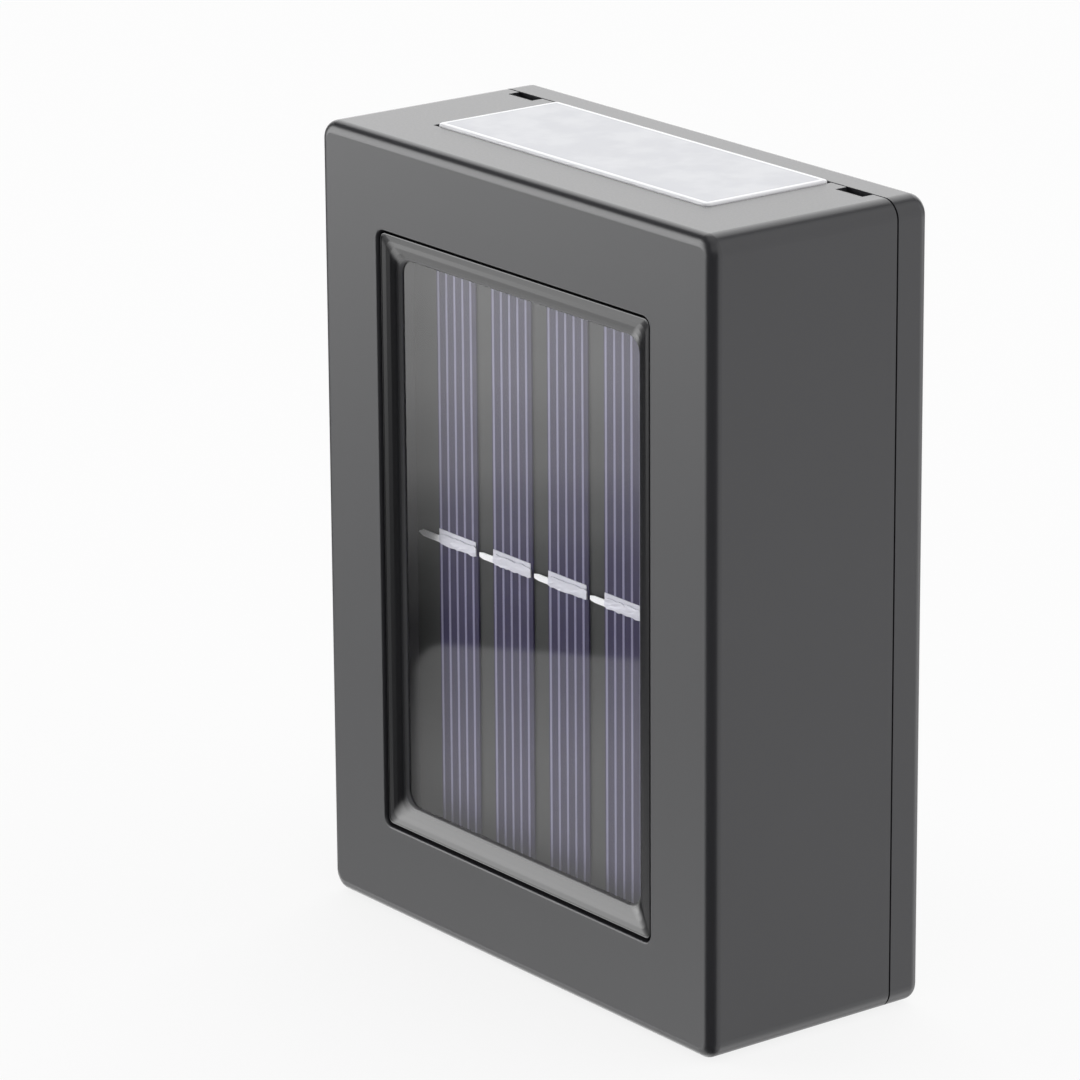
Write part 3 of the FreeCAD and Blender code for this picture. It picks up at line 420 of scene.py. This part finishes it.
def lumpy_plate(name, x_range, z_range, front_y, rear_y, rng):
    """Closed plate with a hand-made look: wavy outline, lumpy front, flat rear. All in millimetres."""
    bm = bmesh.new()
    waves = [(rng.uniform(-SOLDER_WAVE, SOLDER_WAVE), rng.uniform(-SOLDER_WAVE, SOLDER_WAVE))
             for _ in range(SOLDER_COLUMNS + 1)]
    rear = solder_sheet(bm, x_range, z_range, waves, rear_y, 0.0, rng)
    front = solder_sheet(bm, x_range, z_range, waves, front_y, SOLDER_LUMP, rng)
    close_plate(bm, rear, front)
    mesh = bpy.data.meshes.new(name)
    bm.to_mesh(mesh)
    bm.free()
    piece = bpy.data.objects.new(name, mesh)
    bpy.context.scene.collection.objects.link(piece)
    soften = piece.modifiers.new("soften", "BEVEL")
    soften.width = SOLDER_SOFTNESS * MM
    soften.segments = 2
    return piece


def build_solder_joints(material):
    """Solder that covers each ribbon where it crosses a cell's pad."""
    ribbons_low, ribbons_high = box_in_mm("cell_ribbons")
    pads_low, _ = box_in_mm("cell_pads")
    front_y = ribbons_low.y - SOLDER_COVER
    z_range = (ribbons_low.z - SOLDER_BELOW, ribbons_high.z + SOLDER_ABOVE)
    edges = sorted({round(vertex.co.x / MM, 2) for vertex in nodes["cell_pads"].data.vertices})
    rng = random.Random(SOLDER_SEED)
    for number, (left, right) in enumerate(zip(edges[::2], edges[1::2]), start=1):
        x_range = (left + SOLDER_LEFT_INSET, right + SOLDER_RIGHT_SPILL)
        piece = lumpy_plate("solder_joint_%d" % number, x_range, z_range, front_y, pads_low.y, rng)
        piece.data.materials.append(material)
        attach(piece, "casing")


# ---- materials
def surface(name, inputs=None):
    """New material with one Principled shader; returns the material, its tree and the shader."""
    material = bpy.data.materials.new(name)
    material.use_nodes = True
    shader = Shader(material.node_tree)
    bsdf = shader.add("BsdfPrincipled", inputs)
    shader.add("OutputMaterial", {"Surface": bsdf.outputs[0]})
    return material, shader, bsdf


def object_place(shader):
    """Place on the object, in millimetres."""
    place = shader.add("TexCoord").outputs["Object"]
    mapping = shader.add("Mapping", {"Vector": place, "Scale": (1 / MM,) * 3})
    return mapping.outputs[0]


def noise(shader, size, detail):
    """Noise whose grains are about one size in millimetres."""
    node = shader.add("TexNoise", {"Vector": object_place(shader), "Scale": 1.0 / size, "Detail": detail})
    return node.outputs["Fac"]


def relief(shader, bsdf, height, depth):
    """Lets a pattern stand out from the surface; its depth is in millimetres."""
    bump = shader.add("Bump", {"Height": height, "Strength": RELIEF_STRENGTH, "Distance": depth * MM})
    shader.feed(bsdf.inputs["Normal"], bump.outputs[0])


def grained(name, screen_colour, roughness, inputs):
    """Plain finish with a fine grain, a little uneven in colour and gloss."""
    material, shader, bsdf = surface(name, inputs)
    colour = linear(*screen_colour)
    cloud = noise(shader, CLOUD_SIZE, CLOUD_DETAIL)
    uneven = shader.mix(cloud, shade(colour, 1 - COLOUR_SPREAD), shade(colour, 1 + COLOUR_SPREAD))
    shader.feed(bsdf.inputs["Base Color"], uneven)
    grain = noise(shader, GRAIN_SIZE, GRAIN_DETAIL)
    gloss = shader.add("MapRange", {"Value": grain, "To Min": roughness - ROUGHNESS_SPREAD,
                                    "To Max": roughness + ROUGHNESS_SPREAD})
    shader.feed(bsdf.inputs["Roughness"], gloss.outputs[0])
    relief(shader, bsdf, grain, GRAIN_DEPTH)
    return material


def clear_window():
    """Clear pane: shows what is behind it unbent and mirrors the studio from its front."""
    material = bpy.data.materials.new("clear_window")
    material.use_nodes = True
    shader = Shader(material.node_tree)
    clear = shader.add("BsdfTransparent", {"Color": grey(PANE_TINT)})
    mirror = shader.add("BsdfGlossy", {"Color": WHITE, "Roughness": PANE_ROUGHNESS})
    fresnel = shader.add("Fresnel", {"IOR": PANE_INDEX}).outputs[0]
    facing = shader.math("SUBTRACT", 1.0, shader.add("NewGeometry").outputs["Backfacing"])
    share = shader.math("MULTIPLY", fresnel, facing)
    mixed = shader.add("MixShader", {0: share, 1: clear.outputs[0], 2: mirror.outputs[0]})
    shader.add("OutputMaterial", {"Surface": mixed.outputs[0]})
    return material


def window_frame():
    """Glossy black lip round the window, which turns to satin grey on its inner edge; that grey is partly
    the wall's own satin finish and partly painted light, which lifts the shaded inner wall to the tone of
    the lit board beside it.
    """
    material, shader, bsdf = surface("bezel")
    depth = shader.add("SeparateXYZ", {0: object_place(shader)}).outputs["Y"]
    # painted light: the blend to grey lifts the shaded inner wall to the tone of the lit board beside it
    grey_and_painted_light = shader.smooth_step(depth, BEZEL_GREY_START_Y, BEZEL_GREY_FULL_Y)
    colour = shader.mix(grey_and_painted_light, linear(*BEZEL_BLACK), linear(*BEZEL_GREY))
    gloss = shader.smooth_step(depth, BEZEL_GREY_START_Y, BEZEL_GREY_FULL_Y,
                               BEZEL_BLACK_ROUGHNESS, BEZEL_GREY_ROUGHNESS)
    shader.feed(bsdf.inputs["Base Color"], colour)
    shader.feed(bsdf.inputs["Roughness"], gloss)
    relief(shader, bsdf, noise(shader, GRAIN_SIZE, GRAIN_DETAIL), BEZEL_GRAIN_DEPTH)
    return material


def lens_plate():
    """Middle and half size, in millimetres, of the flat plate on top of the top lens."""
    vertices = nodes["top_lens"].data.vertices
    top = max(vertex.co.z for vertex in vertices)
    plate = [vertex.co / MM for vertex in vertices if vertex.co.z > top - LENS_PLATE_DEPTH * MM]
    spans = [[point[axis] for point in plate] for axis in (0, 1)]
    return [middle_and_half(min(span), max(span)) for span in spans]


def past_lens_field(shader):
    """Distance outwards from the edge of the lens's frosted field, in millimetres; less than 0 inside it."""
    place = shader.add("SeparateXYZ", {0: object_place(shader)}).outputs
    outward = []
    for axis, (middle, half_size) in enumerate(lens_plate()):
        from_middle = shader.math("ABSOLUTE", shader.math("SUBTRACT", place[axis], middle))
        outward.append(shader.math("SUBTRACT", from_middle, half_size - LENS_BORDER))
    return shader.math("MAXIMUM", *outward)


def frosted_lens():
    """Milky plastic: a cloudy frosted field inside a white rim band that is a painted highlight of the
    rounded edge, with a painted shadow of the inner rib just inside it.
    """
    material, shader, bsdf = surface("lens")
    past_field = past_lens_field(shader)
    # painted highlight along the lens's rounded edge
    rim_highlight = shader.smooth_step(past_field, -LENS_BORDER_BLUR, LENS_BORDER_BLUR)
    # painted shadow of the inner rib: a darker line just inside the rim band
    rib_shadow = shader.math("SUBTRACT", shader.smooth_step(past_field, LENS_RIB_SHADOW_START, LENS_RIB_SHADOW_PEAK),
                       shader.smooth_step(past_field, LENS_RIB_SHADOW_PEAK, LENS_RIB_SHADOW_END))
    rib_shadow = shader.math("MULTIPLY", rib_shadow, LENS_RIB_SHADOW_SHARE)
    cloud = shader.smooth_step(noise(shader, LENS_CLOUD_SIZE, LENS_CLOUD_DETAIL), *LENS_CLOUD_RANGE)
    field = shader.mix(cloud, linear(*LENS_FIELD_DARK), linear(*LENS_FIELD_LIGHT))
    field = shader.mix(rib_shadow, field, linear(*LENS_RIB_SHADOW_COLOUR))
    colour = shader.mix(rim_highlight, field, linear(*LENS_RIM_HIGHLIGHT_COLOUR))
    gloss = shader.smooth_step(past_field, -LENS_BORDER_BLUR, LENS_BORDER_BLUR,
                               LENS_FIELD_ROUGHNESS, LENS_BORDER_ROUGHNESS)
    shader.feed(bsdf.inputs["Base Color"], colour)
    shader.feed(bsdf.inputs["Roughness"], gloss)
    relief(shader, bsdf, noise(shader, LENS_GRAIN_SIZE, LENS_GRAIN_DETAIL), LENS_GRAIN_DEPTH)
    return material


def build_materials():
    materials = {name: grained(name, *finish) for name, finish in FINISHES.items()}
    materials["bezel"] = window_frame()
    materials["pane"] = clear_window()
    materials["lens"] = frosted_lens()
    return materials


def dress_nodes(materials):
    """Every piece of the model gets the finish that the record names for it."""
    for entry in frame["record"]["subparts"]:
        node = nodes[entry["node"]]
        node.data.materials.clear()
        node.data.materials.append(materials[entry["material_slot"]])


build_camera()
build_studio_light()
build_floor()
materials = build_materials()
dress_nodes(materials)
build_solder_joints(materials["solder_pad"])

scene = bpy.context.scene
scene.view_settings.view_transform = "Standard"
